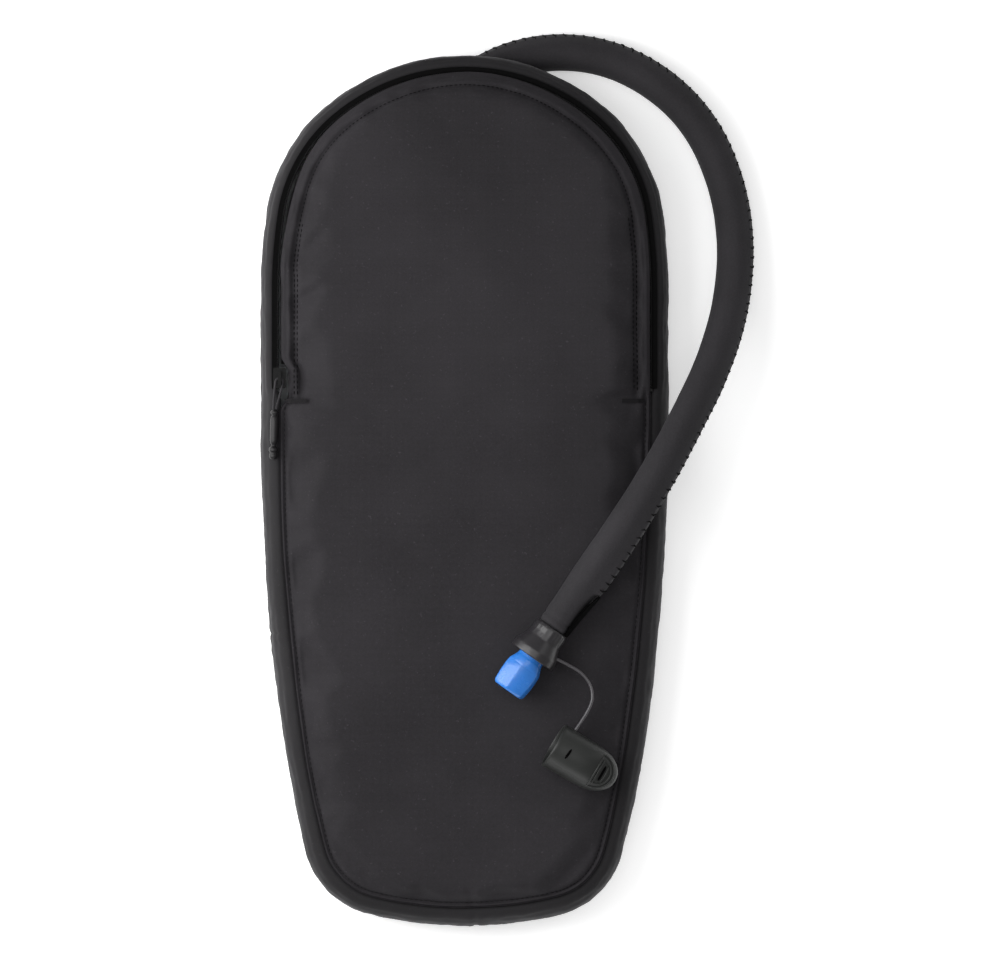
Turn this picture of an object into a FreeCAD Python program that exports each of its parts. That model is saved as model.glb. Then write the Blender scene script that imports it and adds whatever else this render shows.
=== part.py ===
import FreeCAD, Part

import math
import os

from FreeCAD import Placement, Rotation, Vector

# A soft insulated hydration bladder, lying on its back with the zipped front panel facing up.
# Millimetres. X is across the bag, +Y is the bag's top end, +Z is out of the front panel.
# The origin is under the middle of the bag, on the surface that it lies on.

# ---- driving dimensions -------------------------------------------------------------------
BAG_LENGTH = 470.0
TOP_Y = BAG_LENGTH / 2
# The right half of the outline from the top centre, clockwise: radius and the heading at its end.
# The two radii left out are worked out so that the outline closes.
SIDE_ARCS = [(117.0, 39.6), (92.0, 81.5), (297.0, 90.0), (None, 98.0), (595.0, 104.5), (46.0, 166.5), (None, 180.0)]
STRAIGHT_AFTER = 2  # the arc that the straight stretch of the side follows
STRAIGHT_SIDE = 70.0
BLADDER_SIZE = 0.79  # of the bag's outline
BLADDER_UP = 15.0  # its bottom end from the bag's

FABRIC = 1.2
FOAM = 2.8
SLOPE_START_Y = 172.0  # the back panel rises from here to the top end
SLOPE_DEGREES = 23.0
SEAM_Z = 38.0  # front edge of the gusset
CROWN_Z = 45.0  # middle of the front panel
PANEL_INSET = 12.2  # front panel's edge from the outline
ZIP_INSET = 10.5
HINGE_Y = 52.0  # the fold that the flap opens on
HINGE_GAP = 1.5  # each side of the fold

HOSE_RADIUS = 9.75
TUBE_RADIUS = 4.75
TUBE_BORE = 3.2
COVER_BORE = 5.0
FLOOR_AXIS_Z = 10.0
TOP_AXIS_Z = 58.4

PORT_Y = 100.0  # middle of the fill port
PORT_Z = 30.0  # front of the bladder
SOCKET_AXIS = Vector(-42.0, -170.0, 12.6)

# Routes are the corners of straight runs, each rounded by a tangent arc.
HOSE_ROUTE = [
    (-32, 184, FLOOR_AXIS_Z), (-20, 200, FLOOR_AXIS_Z), (4, 224, FLOOR_AXIS_Z), (36, 237, FLOOR_AXIS_Z),
    (70, 237, FLOOR_AXIS_Z), (101, 224, FLOOR_AXIS_Z), (126, 201, FLOOR_AXIS_Z), (141, 170, FLOOR_AXIS_Z),
    (147, 136, 12), (144.5, 101, 20), (134, 67, 34), (118, 35, 50), (100, 2, TOP_AXIS_Z),
    (75, -35, TOP_AXIS_Z), (47.5, -73.5, TOP_AXIS_Z),
]
TUBE_ROUTE = [
    (-42, -145, 12.6), (-42.5, -115, 12.6), (-45, -60, 12.6), (-49, 20, 12.6), (-53, 95, 12.6),
    (-53.5, 135, 12), (-45, 165.5, 10.6),
]
TETHER_ROUTE = [
    (48.8, -90.1, 58.0), (56, -93.5, 56.5), (64, -98.5, 55.5), (69.3, -107, 55.5), (68.2, -117, 56.3), (59.6, -128.7, 57.8),
]
PULL_ROUTE = [
    (-103.0, 44.0, 41.0), (-102.8, 51.0, 41.4), (-102.0, 57.0, 41.9), (-101.7, 60.6, 42.2),
    (-97.7, 60.6, 42.2), (-98.1, 57.0, 41.9), (-99.8, 51.0, 41.4), (-101.6, 44.0, 41.0),
]
PULL_CORD_RADIUS = 0.7
TETHER_RADIUS = 0.8

os.makedirs("parts", exist_ok=True)
UP = Vector(0, 0, 1)


# ---- helpers ------------------------------------------------------------------------------
def save(name, shape):
    shape.exportStep("parts/" + name + ".step")
    print(name, len(shape.Solids), "solid(s)", round(shape.Volume), "mm3", "" if shape.isValid() else "NOT VALID")


def box(low, high):
    size = [h - l for l, h in zip(low, high)]
    return Part.makeBox(size[0], size[1], size[2], Vector(*low))


def cylinder(radius, low, high, x=0.0, y=0.0):
    return Part.makeCylinder(radius, high - low, Vector(x, y, low))


def pipe(outer, inner, low, high, x=0.0, y=0.0):
    return cylinder(outer, low, high, x, y).cut(cylinder(inner, low - 1, high + 1, x, y))


def sector(outer, inner, low, high, start, sweep, x, y):
    ring = Part.makeCylinder(outer, high - low, Vector(0, 0, low), UP, sweep)
    ring = ring.cut(Part.makeCylinder(inner, high - low + 2, Vector(0, 0, low - 1)))
    ring.rotate(Vector(0, 0, 0), UP, start)
    ring.translate(Vector(x, y, 0))
    return ring


def turned(profile):
    """A solid of revolution about local Z from (radius, height) corners."""
    points = [Vector(r, 0, s) for r, s in profile]
    face = Part.Face(Part.makePolygon(points + points[:1]))
    return face.revolve(Vector(0, 0, 0), UP, 360)


def closed_arcs():
    """SIDE_ARCS as (radius, heading in, heading out) with the two open radii solved."""
    headings = [0.0] + [math.radians(h) for _, h in SIDE_ARCS]
    spans = [(math.sin(b) - math.sin(a), math.cos(b) - math.cos(a)) for a, b in zip(headings, headings[1:])]
    known = [(r or 0.0) for r, _ in SIDE_ARCS]
    i, j = [n for n, (r, _) in enumerate(SIDE_ARCS) if r is None]
    across = -sum(r * s[0] for r, s in zip(known, spans))
    down = -(BAG_LENGTH - STRAIGHT_SIDE) - sum(r * s[1] for r, s in zip(known, spans))
    det = spans[i][0] * spans[j][1] - spans[j][0] * spans[i][1]
    known[i] = (across * spans[j][1] - spans[j][0] * down) / det
    known[j] = (spans[i][0] * down - across * spans[i][1]) / det
    return list(zip(known, headings, headings[1:]))


ARCS = closed_arcs()
HALF_WIDTH = sum(r * (math.sin(b) - math.sin(a)) for r, a, b in ARCS[:STRAIGHT_AFTER + 1])
ZIP_X = -(HALF_WIDTH - ZIP_INSET)


def outline(inset, z, size=1.0):
    """The bag's outline as a closed wire, moved in by inset; size shrinks it about its bottom end."""
    x = 0.0
    y = -TOP_Y + size * BAG_LENGTH - inset
    right = []
    for n, (radius, start, end) in enumerate(ARCS):
        r = radius * size - inset
        points = []
        for h in (start, (start + end) / 2, end):
            points.append((x + r * (math.sin(h) - math.sin(start)), y + r * (math.cos(h) - math.cos(start))))
        right.append(points)
        x, y = points[-1]
        if n == STRAIGHT_AFTER:
            right.append([(x, y), (x, y - STRAIGHT_SIDE * size)])
            y -= STRAIGHT_SIDE * size
    left = [[(-px, py) for px, py in reversed(points)] for points in reversed(right)]
    edges = []
    for points in right + left:
        corners = [Vector(px, py, z) for px, py in points]
        edges.append(Part.Arc(*corners).toShape() if len(corners) == 3 else Part.makeLine(*corners))
    return Part.Wire(edges)


def lofted(levels, size=1.0):
    """A solid through outlines given as (inset, z)."""
    return Part.makeLoft([outline(inset, z, size) for inset, z in levels], True, True)


def prism(inset, low, high):
    return Part.Face(outline(inset, low)).extrude(Vector(0, 0, high - low))


def band(outer, inner, low, high):
    return prism(outer, low, high).cut(prism(inner, low - 1, high + 1))


def back_slab(low, high):
    """A slab that follows the underside: flat, then rising to the top end."""
    far = 260.0
    rise = (far - SLOPE_START_Y) * math.tan(math.radians(SLOPE_DEGREES))
    profile = [(-far, low), (SLOPE_START_Y, low), (far, low + rise), (far, high + rise), (SLOPE_START_Y, high), (-far, high)]
    points = [Vector(-far, y, z) for y, z in profile]
    return Part.Face(Part.makePolygon(points + points[:1])).extrude(Vector(2 * far, 0, 0))


def above(shape, y):
    return shape.common(box((-200, y, -50), (200, 300, 150)))


def below(shape, y):
    return shape.common(box((-200, -300, -50), (200, y, 150)))


def route_wire(route, name):
    """Straight runs joined by tangent arcs, each as large as its two runs allow."""
    points = [Vector(*p) for p in route]
    edges = []
    start = points[0]
    radii = []
    for before, corner, after in zip(points, points[1:], points[2:]):
        into = (corner - before).normalize()
        out = (after - corner).normalize()
        reach = 0.45 * min((corner - before).Length, (after - corner).Length)
        half_turn = into.getAngle(out) / 2
        radius = reach / math.tan(half_turn)
        radii.append(radius)
        first = corner - into * reach
        last = corner + out * reach
        inward = (out - into).normalize()
        middle = corner + inward * (radius / math.cos(half_turn) - radius)
        edges.append(Part.makeLine(start, first))
        edges.append(Part.Arc(first, middle, last).toShape())
        start = last
    edges.append(Part.makeLine(start, points[-1]))
    wire = Part.Wire(edges)
    print(name, "length", round(wire.Length, 1), "radii", [round(r, 1) for r in radii])
    return wire


def swept(wire, radius, name):
    first = wire.Edges[0]
    direction = first.tangentAt(first.FirstParameter)
    circle = Part.Wire(Part.makeCircle(radius, first.valueAt(first.FirstParameter), direction))
    solid = wire.makePipeShell([circle], True, False)
    print(name, "volume over section x length", round(solid.Volume / (math.pi * radius**2 * wire.Length), 4))
    return solid


def coil(radius, wire_radius, turns, pitch):
    """A compression spring along local +Z."""
    helix = Part.makeHelix(pitch, turns * pitch, radius)
    start = helix.Edges[0].valueAt(helix.Edges[0].FirstParameter)
    direction = helix.Edges[0].tangentAt(helix.Edges[0].FirstParameter)
    circle = Part.Wire(Part.makeCircle(wire_radius, start, direction))
    return Part.Wire(helix.Edges).makePipeShell([circle], True, True)


def leaf_spring(x, y, z):
    """A bowed steel strip: its ends rest at x, its middle stands out along +X, round the button's stem."""
    outer = Part.Arc(Vector(x, y - 4.6, z), Vector(x + 2.0, y, z), Vector(x, y + 4.6, z)).toShape()
    inner = Part.Arc(Vector(x, y + 4.2, z), Vector(x + 1.7, y, z), Vector(x, y - 4.2, z)).toShape()
    ends = [Part.makeLine(Vector(x, y + a, z), Vector(x, y + b, z)) for a, b in ((4.6, 4.2), (-4.2, -4.6))]
    strip = Part.Face(Part.Wire([outer, ends[0], inner, ends[1]])).extrude(Vector(0, 0, 6))
    strip.translate(Vector(0, 0, -3))
    return strip.cut(Part.makeCylinder(1.9, 6, Vector(x - 1, y, z), Vector(1, 0, 0)))


# ---- the sleeve ---------------------------------------------------------------------------
def crown(drop, trim):
    """The front panel's padded shape as a solid, drop mm lower and trim mm further in at its edge."""
    levels = [(PANEL_INSET, SEAM_Z - 0.4), (PANEL_INSET, SEAM_Z), (16.5, 40.7), (28.0, 43.7), (42.0, CROWN_Z)]
    lowered = [(min(inset + trim, 42.5), z - drop) for inset, z in levels[1:]]
    return lofted([(PANEL_INSET + trim, levels[0][1] - drop - 4.0 * (drop > 0))] + lowered)


def gusset_levels(depth):
    """Section of the bulging side band, depth mm in from its outer face, as (inset, z)."""
    section = [(9.0, 2.0), (3.5, 7.5), (0.0, 14.0), (0.0, 25.0), (2.5, 33.0), (6.5, SEAM_Z)]
    return [(inset + depth, z) for inset, z in section]


def ring(depth_out, depth_in, low, high):
    """A layer of the side band between two depths, kept between two heights."""
    outer = lofted(gusset_levels(depth_out))
    inner_levels = gusset_levels(depth_in)
    inner_levels = [(inner_levels[0][0], -5.0)] + inner_levels + [(inner_levels[-1][0], SEAM_Z + 5)]
    layer = outer.cut(lofted(inner_levels))
    layer = layer.common(box((-200, -300, low), (200, 300, high)))
    return layer.cut(back_slab(-80, FABRIC + 0.1))


def boot_cut(radius):
    """The hose port's place: a round bar along the hose's first run."""
    start = Vector(*HOSE_ROUTE[0])
    run = (Vector(*HOSE_ROUTE[1]) - start).normalize()
    return Part.makeCylinder(radius, 34.0, start - run * 9.0, run)


def make_sleeve(hose_bar):
    hole = boot_cut(12.9)
    save("back_panel", back_slab(0, FABRIC).common(prism(8.6, -5, 60)).cut(hole).cut(hose_bar))
    foam = back_slab(FABRIC + 0.1, FABRIC + FOAM).common(prism(13.4, -5, 60))
    save("back_foam", foam.cut([hole, hose_bar, tube_way(TUBE_RADIUS + 0.3)]))
    save("side_gusset", ring(0.0, FABRIC, -5, SEAM_Z + 5).cut(hose_bar))
    save("gusset_foam", ring(FABRIC + 0.1, FABRIC + 2.6, 6.0, 34.0).cut(back_slab(-80, 5.0)).cut(hose_bar))

    shell = crown(0, 0).cut(crown(FABRIC, FABRIC))
    padding = crown(FABRIC + 0.1, 3.6).cut(crown(FABRIC + FOAM, 6.4))
    low_edge = HINGE_Y - HINGE_GAP
    high_edge = HINGE_Y + HINGE_GAP
    flange = band(7.9, PANEL_INSET + 0.5, SEAM_Z - 1.1, SEAM_Z - 0.1)
    save("front_panel", below(shell.fuse(flange), low_edge).removeSplitter())
    save("front_foam", below(padding, low_edge))
    slider_notch = box((-120, 40, 20), (ZIP_X + 4.0, 68.5, 60))
    save("front_flap", above(shell, high_edge).cut(slider_notch))
    save("flap_foam", above(padding, high_edge))

    tape_low = SEAM_Z - 1.2
    tape_top = SEAM_Z - 0.5
    teeth_top = SEAM_Z + 1.0
    zip_end = 55.2
    save("zip_tape_shell", above(band(8.3, 10.0, tape_low, tape_top), 53.6))
    save("zip_teeth_shell", above(band(9.0, 10.0, tape_top, teeth_top), zip_end))
    clear_of_slider = box((-120, 40, 20), (-60, 68.5, 60))
    save("zip_tape_flap", above(band(11.0, 15.4, tape_low, tape_top), zip_end).cut(clear_of_slider))
    save("zip_teeth_flap", above(band(11.0, 12.0, tape_top, teeth_top), zip_end).cut(clear_of_slider))
    stops = []
    for side in (-1, 1):
        x = side * -ZIP_X
        stops.append(box((x - 1.7, 53.7, tape_top), (x + 1.7, 55.1, teeth_top)))
    slot = band(8.3, 10.0, tape_low - 1, teeth_top + 1)
    stops = [s.common(slot) for s in stops]
    save("zip_stops", Part.makeCompound(stops))
    thread = crown(-0.6, 0).cut(crown(0, 0))
    tacks = [thread.common(box((s * 91 - 6, low_edge - 3, 30), (s * 91 + 6, low_edge - 0.8, 60))) for s in (-1, 1)]
    save("bar_tacks", Part.makeCompound(tacks))


def make_boot(hose_bar, tube_bar):
    start = Vector(*HOSE_ROUTE[0])
    run = (Vector(*HOSE_ROUTE[1]) - start).normalize()
    barrel = Part.makeCylinder(12.4, 22.0, start - run * 6.0, run)
    flange = back_slab(-1.2, -0.1).common(boot_cut(17.5))
    inner_flange = back_slab(FABRIC + FOAM + 0.1, FABRIC + FOAM + 1.4).common(boot_cut(17.5))
    neck = back_slab(-1.2, FABRIC + FOAM + 1.4).common(boot_cut(12.4))
    boot = barrel.fuse([flange, inner_flange, neck])
    boot = boot.common(box((-200, 100, 0.1), (200, 260, 60)))
    boot = boot.cut(hose_bar).cut(tube_bar(TUBE_RADIUS + 0.3))
    save("hose_boot", max(boot.Solids, key=lambda s: s.Volume))


# ---- zip slider and its pull --------------------------------------------------------------
def make_slider():
    low, high = 55.5, 66.5
    top = box((ZIP_X - 3.6, low, SEAM_Z + 1.6), (ZIP_X + 3.6, high, SEAM_Z + 2.7))
    bottom = box((ZIP_X - 3.2, low, SEAM_Z - 2.7), (ZIP_X + 3.2, high, SEAM_Z - 1.6))
    post = box((ZIP_X - 0.25, high - 4.5, SEAM_Z - 2.0), (ZIP_X + 0.25, high - 0.5, SEAM_Z + 2.0))
    bridge = box((ZIP_X - 0.8, 57.0, SEAM_Z + 2.5), (ZIP_X + 0.8, 64.5, SEAM_Z + 6.3))
    eye = box((ZIP_X - 2.0, 58.9, SEAM_Z + 2.9), (ZIP_X + 2.0, 62.4, SEAM_Z + 5.5))
    body = top.fuse([bottom, post, bridge]).cut(eye).removeSplitter()
    body = body.makeFillet(1.2, [e for e in body.Edges if is_wing_corner(e)])
    save("zip_slider", body)
    save("pull_cord", swept(route_wire(PULL_ROUTE, "pull_cord"), PULL_CORD_RADIUS, "pull_cord"))
    grip = turned([(0, 0), (1.6, 0), (1.9, 1.2), (1.9, 18.8), (1.6, 20.0), (0, 20.0)])
    tail = turned([(0, 20.0), (0.9, 20.0), (1.5, 22.0), (1.5, 25.5), (0.7, 27.0), (0, 27.0)])
    grip = grip.fuse(tail)
    grip.Placement = Placement(Vector(-102.3, 43.8, 40.9), Rotation(UP, Vector(-0.03, -1, -0.02)))
    save("pull_grip", grip)


def is_wing_corner(edge):
    """An upright edge at a corner of one of the slider's wings."""
    ends = [v.Point for v in edge.Vertexes]
    if len(ends) != 2 or abs(ends[0].z - ends[1].z) < 0.9 or abs(ends[0].z - ends[1].z) > 1.2:
        return False
    return abs(ends[0].x - ZIP_X) > 3.0


# ---- the reservoir ------------------------------------------------------------------------
def bladder_form(levels):
    form = lofted(levels, BLADDER_SIZE)
    form.translate(Vector(0, BLADDER_UP, 0))
    return form


def make_reservoir(tube_bar):
    levels = [(12.0, 4.6), (4.0, 7.5), (1.0, 13.0), (1.0, 21.6), (4.0, 27.0), (12.0, PORT_Z)]
    film = 0.8
    inner = [(inset + film, z) for inset, z in levels[1:-1]]
    inner = [(12.0 + film, 4.6 + film)] + inner + [(12.0 + film, PORT_Z - film)]
    pocket = box((-62, -203, 0), (-22, -141, 22.9))
    pocket_wall = box((-62 - film, -203 - film, 0), (-22 + film, -141 + film, 22.9 + film))
    channel = tube_bar(TUBE_RADIUS + 0.7)
    channel_wall = tube_bar(TUBE_RADIUS + 0.7 + film)
    outside = bladder_form(levels).cut([pocket, channel])
    mouth = cylinder(33.0, 20, 60, 0, PORT_Y)
    water = bladder_form(inner).cut([pocket_wall, channel_wall])
    outlet = cylinder(3.0, 20, 26, SOCKET_AXIS.x, SOCKET_AXIS.y - 14)
    bladder = outside.cut(water).cut([mouth, outlet])
    save("bladder", max(bladder.Solids, key=lambda s: s.Volume))

    flange = pipe(47.0, 33.0, PORT_Z + 0.1, PORT_Z + 1.8, 0, PORT_Y)
    neck = pipe(36.0, 33.0, PORT_Z + 0.1, PORT_Z + 6.6, 0, PORT_Y)
    lugs = [sector(37.6, 35.0, PORT_Z + 4.9, PORT_Z + 6.3, a, 24, 0, PORT_Y) for a in (0, 120, 240)]
    save("fill_port_ring", flange.fuse([neck] + lugs).removeSplitter())
    handle = box((-13, PORT_Y - 82, PORT_Z + 2.0), (13, PORT_Y - 44, PORT_Z + 5.2))
    handle = handle.makeFillet(8.0, [e for e in handle.Edges if abs(e.tangentAt(e.FirstParameter).z) > 0.9])
    handle = handle.fuse(box((-9, PORT_Y - 56, PORT_Z + 1.9), (9, PORT_Y - 44, PORT_Z + 5.2)))
    ribs = [box((-9, y, PORT_Z + 5.2), (9, y + 1.4, PORT_Z + 5.8)) for y in range(25, 48, 5)]
    handle = handle.fuse(ribs).cut(cylinder(43.6, 20, 60, 0, PORT_Y)).removeSplitter()
    save("port_handle", handle)

    skirt = pipe(43.0, 38.0, PORT_Z + 2.6, PORT_Z + 10.2, 0, PORT_Y)
    disc = cylinder(43.0, PORT_Z + 7.6, PORT_Z + 10.2, 0, PORT_Y)
    recess = cylinder(33.0, PORT_Z + 9.0, PORT_Z + 12, 0, PORT_Y)
    bar = box((-34, PORT_Y - 6, PORT_Z + 8.5), (34, PORT_Y + 6, PORT_Z + 10.2))
    cap = skirt.fuse([disc.cut(recess), bar])
    cap = cap.fuse([sector(38.5, 36.4, PORT_Z + 2.9, PORT_Z + 4.4, a, 24, 0, PORT_Y) for a in (-20, 100, 220)])
    notches = [cylinder(1.6, PORT_Z, PORT_Z + 12, *on_circle(43.6, a)) for a in range(0, 360, 15)]
    save("fill_cap", cap.cut(notches))
    save("cap_gasket", pipe(35.9, 33.1, PORT_Z + 6.65, PORT_Z + 7.55, 0, PORT_Y))


def on_circle(radius, degrees):
    a = math.radians(degrees)
    return radius * math.cos(a), PORT_Y + radius * math.sin(a)


# ---- the quick-release outlet under the bladder --------------------------------------------
def make_outlet():
    """Built along local +Z, which is laid along +Y at SOCKET_AXIS; local +X stays +X."""
    lay = Placement(SOCKET_AXIS, Rotation(Vector(1, 0, 0), Vector(0, 0, -1), Vector(0, 1, 0), "ZXY"))
    # socket: chamber for the check valve, then the bore that the coupler goes into
    socket = turned([(0, -24), (8, -24), (8, 10), (5.3, 10), (5.3, -6), (4.2, -6), (4.2, -8), (6, -8), (6, -22), (0, -22)])
    button_way = Part.makeCylinder(2.3, 9, Vector(4.5, 0, 2), Vector(1, 0, 0))
    riser_way = Part.makeCylinder(3.0, 12, Vector(0, 0, -14), Vector(0, -1, 0))
    socket.Placement = lay
    button_way.Placement = lay
    riser_way.Placement = lay
    x, y, z = SOCKET_AXIS
    flange = cylinder(15.0, 20.9, 22.7, x, y - 14)
    riser = cylinder(5.0, z + 5, 21.5, x, y - 14)
    bore = cylinder(3.0, z + 3, 24, x, y - 14)
    spring_seat = box((x + 7.0, y - 3, z - 5), (x + 9.0, y + 7, z + 5))
    body = socket.fuse([flange, riser, spring_seat]).cut([bore, button_way, riser_way])
    save("exit_port", body.removeSplitter())

    poppet = turned([(0, -21.0), (1.0, -21.0), (1.0, -10.5), (5.2, -10.5), (5.2, -9.2), (2.0, -9.2), (2.0, -6.2), (0, -6.2)])
    spring = coil(3.2, 0.4, 4, 2.4)
    spring.translate(Vector(0, 0, -21.3))
    coupler = turned([
        (2.4, -5.9), (4.9, -5.9), (4.9, -3.6), (4.1, -3.6), (4.1, -1.8), (4.9, -1.8), (4.9, 0.9), (4.0, 0.9),
        (4.0, 3.1), (4.9, 3.1), (4.9, 10.4), (7.0, 10.4), (7.0, 12.4), (4.9, 12.4), (4.9, 22.6), (3.0, 24.6),
        (3.0, 35.0), (2.4, 37.0), (2.4, 37.0),
    ][:-1])
    seal = Part.makeTorus(4.45, 0.6, Vector(0, 0, -2.7), UP)
    for name, shape in (("check_poppet", poppet), ("poppet_spring", spring), ("tube_coupler", coupler), ("coupler_seal", seal)):
        shape.Placement = lay.multiply(shape.Placement)
        save(name, shape)

    stem = Part.makeCylinder(1.7, 4.8, Vector(x + 6.6, y + 2, z), Vector(1, 0, 0))
    pad = box((x + 11.2, y - 4, z - 5), (x + 14.0, y + 8, z + 5))
    pad = pad.makeFillet(1.0, [e for e in pad.Edges if e.BoundBox.XMax > x + 13.9 and e.BoundBox.XLength < 1])
    save("release_button", stem.fuse(pad).removeSplitter())
    save("button_spring", leaf_spring(x + 9.05, y + 2, z))


# ---- hose, drinking tube and what is on their end -------------------------------------------
def end_frame():
    """Local +Z runs on along the hose's last run, local +Y is up."""
    last = Vector(*HOSE_ROUTE[-1])
    run = (last - Vector(*HOSE_ROUTE[-2])).normalize()
    return Placement(last, Rotation(UP.cross(run), UP, run, "ZXY"))


def make_hose(hose_wire):
    outer = swept(hose_wire, HOSE_RADIUS, "hose_cover")
    inner = swept(hose_wire, COVER_BORE, "hose_cover bore")
    save("hose_cover", outer.cut(inner))


def make_tube(tube_wire):
    outer = swept(tube_wire, TUBE_RADIUS, "drinking_tube")
    inner = swept(tube_wire, TUBE_BORE, "drinking_tube bore")
    save("drinking_tube", outer.cut(inner))


def make_valve():
    place = end_frame()
    adaptor = turned([
        (1.8, -12.0), (3.0, -12.0), (3.0, 0.6), (7.2, 0.6), (7.2, 2.4), (5.5, 2.4), (5.5, 21.0), (6.3, 22.5),
        (6.3, 24.5), (5.0, 26.0), (1.8, 26.0),
    ])
    collar = turned([
        (8.6, 0.3), (9.3, 0.8), (9.3, 4.5), (9.8, 9.0), (13.0, 15.5), (13.0, 19.5), (11.6, 19.5), (11.6, 15.8),
        (8.4, 9.6), (5.9, 9.2), (5.9, 4.2), (7.7, 4.0), (7.7, 0.3),
    ])
    valve = turned([
        (5.9, 12.0), (7.4, 12.0), (7.4, 20.0), (8.2, 21.5), (10.6, 24.5), (10.6, 34.0), (9.9, 38.5), (8.6, 41.0),
        (0, 41.0), (0, 38.0), (4.0, 36.0), (6.8, 32.0), (6.8, 21.6), (5.9, 20.0),
    ])
    flats = [box((-15, 8.6, 22), (15, 15, 45)), box((-15, -15, 22), (15, -8.6, 45))]
    slit = box((-5, -0.3, 36), (5, 0.3, 42))
    valve = valve.cut(flats + [slit])
    for name, shape in (("valve_adaptor", adaptor), ("tether_collar", collar), ("bite_valve", valve)):
        shape.Placement = place
        save(name, shape)


def make_valve_cap():
    axis = Vector(0.862, -0.507, -0.08).normalize()
    side = UP.cross(axis).normalize()
    cup = turned([(11.2, 0), (12.8, 0), (12.6, 24.0), (11.0, 31.0), (0, 31.0), (0, 26.0), (10.0, 26.0), (11.2, 23.0)])
    tab = Part.makeCylinder(12.2, 9.0, Vector(0, -4.5, 26.4), Vector(0, 1, 0))
    tab = tab.cut(Part.makeCylinder(10.9, 30.0, Vector(0, 0, -4.0), UP))
    arch = Part.makeCylinder(7.2, 30.0, Vector(0, -15, 27.6), Vector(0, 1, 0)).common(box((-20, -15, 33.0), (20, 15, 35.2)))
    cap = cup.fuse(tab).cut(arch)
    cap = cap.common(Part.makeCylinder(30, 60, Vector(0, 0, 0), UP))
    cap.Placement = Placement(Vector(47.7, -136.5, 58.6), Rotation(side, UP, axis, "ZXY"))
    save("valve_cap", cap)
    save("valve_tether", swept(route_wire(TETHER_ROUTE, "valve_tether"), TETHER_RADIUS, "valve_tether"))


hose = route_wire(HOSE_ROUTE, "hose_cover")
tube = route_wire(TUBE_ROUTE + HOSE_ROUTE, "drinking_tube")
hose_way = swept(hose, HOSE_RADIUS + 0.15, "hose way")


def tube_way(radius):
    return swept(tube, radius, "tube way")


print("half width", round(HALF_WIDTH, 2), "zip x", round(ZIP_X, 2), "arcs", [round(r, 1) for r, _, _ in ARCS])
make_sleeve(hose_way)
make_boot(hose_way, tube_way)
make_slider()
make_reservoir(tube_way)
make_outlet()
make_hose(hose)
make_tube(tube)
make_valve()
make_valve_cap()
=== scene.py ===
import math

import bmesh
import bpy
from mathutils import Matrix, Vector, noise
from mathutils.bvhtree import BVHTree


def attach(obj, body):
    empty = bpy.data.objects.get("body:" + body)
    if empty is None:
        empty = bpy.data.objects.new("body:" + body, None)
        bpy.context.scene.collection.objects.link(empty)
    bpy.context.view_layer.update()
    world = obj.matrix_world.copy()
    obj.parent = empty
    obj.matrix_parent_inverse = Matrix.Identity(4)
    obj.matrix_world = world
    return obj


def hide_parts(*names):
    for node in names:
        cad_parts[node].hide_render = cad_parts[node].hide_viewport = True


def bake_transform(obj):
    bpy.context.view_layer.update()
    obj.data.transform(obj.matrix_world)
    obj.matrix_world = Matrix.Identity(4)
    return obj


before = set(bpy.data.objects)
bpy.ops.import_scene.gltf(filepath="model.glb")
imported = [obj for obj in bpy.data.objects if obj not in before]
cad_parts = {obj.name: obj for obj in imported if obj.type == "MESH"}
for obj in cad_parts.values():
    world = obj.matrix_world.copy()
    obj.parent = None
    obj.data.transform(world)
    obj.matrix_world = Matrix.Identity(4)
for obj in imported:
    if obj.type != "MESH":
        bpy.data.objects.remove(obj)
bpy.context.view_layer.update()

MM = 0.001
ABOVE_ALL = 0.12  # metres, higher than any piece: where rays start
CLOTH_FRAMES = 20
PUFF_LIMIT = 5.0  # mm the cloth simulation may move any point

# ---- the bag's outline: the same tangent arcs as the frame, in mm ---------------------------
BAG_LENGTH = 470.0
SIDE_ARCS = [
    (117.0, 39.6), (92.0, 81.5), (297.0, 90.0), (None, 98.0), (595.0, 104.5), (46.0, 166.5), (None, 180.0),
]
STRAIGHT_AFTER = 2
STRAIGHT_SIDE = 70.0
SLOPE_START_Y = 172.0
SLOPE = math.tan(math.radians(23.0))
SEAM_Z = 38.0
CROWN_Z = 45.0
HINGE_Y = 52.0
ZIP_END_Y = 55.2
FLAP_ZIP_Y = 68.5  # on the left the flap's half of the zip starts higher, clear of the parked slider

# ---- cord routes: control points in mm ------------------------------------------------------
HOSE_ROUTE = [
    (-32, 184, 10), (-20, 200, 10), (4, 224, 10), (36, 237, 10), (70, 237, 10), (101, 224, 10),
    (126, 201, 10), (141, 170, 10), (147, 136, 12), (144.5, 101, 20), (134, 67, 34), (118, 35, 50),
    (100, 2, 58.4), (75, -35, 58.4), (47.5, -73.5, 58.4),
]
TUBE_ROUTE = [
    (-42, -145, 12.6), (-42.5, -115, 12.6), (-45, -60, 12.6), (-49, 20, 12.6), (-53, 95, 12.6),
    (-53.5, 135, 12), (-45, 165.5, 10.6),
]
TETHER_ROUTE = [
    (48.8, -90.1, 58.0), (56, -93.5, 56.5), (64, -98.5, 55.5), (69.3, -107, 55.5), (68.2, -117, 56.3),
    (59.6, -128.7, 57.8),
]
PULL_ROUTE = [
    (-103.0, 44.0, 41.0), (-102.8, 51.0, 41.4), (-102.0, 57.0, 41.9), (-101.7, 60.6, 42.2),
    (-97.7, 60.6, 42.2), (-98.1, 57.0, 41.9), (-99.8, 51.0, 41.4), (-101.6, 44.0, 41.0),
]
HOSE_RADIUS = 9.75
RIM_RADIUS = 5.1  # the hole in the cover's ends, round the tube
HOLE_RADIUS = 7.2  # the hole in the back, under the hose's boot
HOLE_REACH = (-9.0, 40.0)  # how far that hole may lie along the hose from its start
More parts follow.
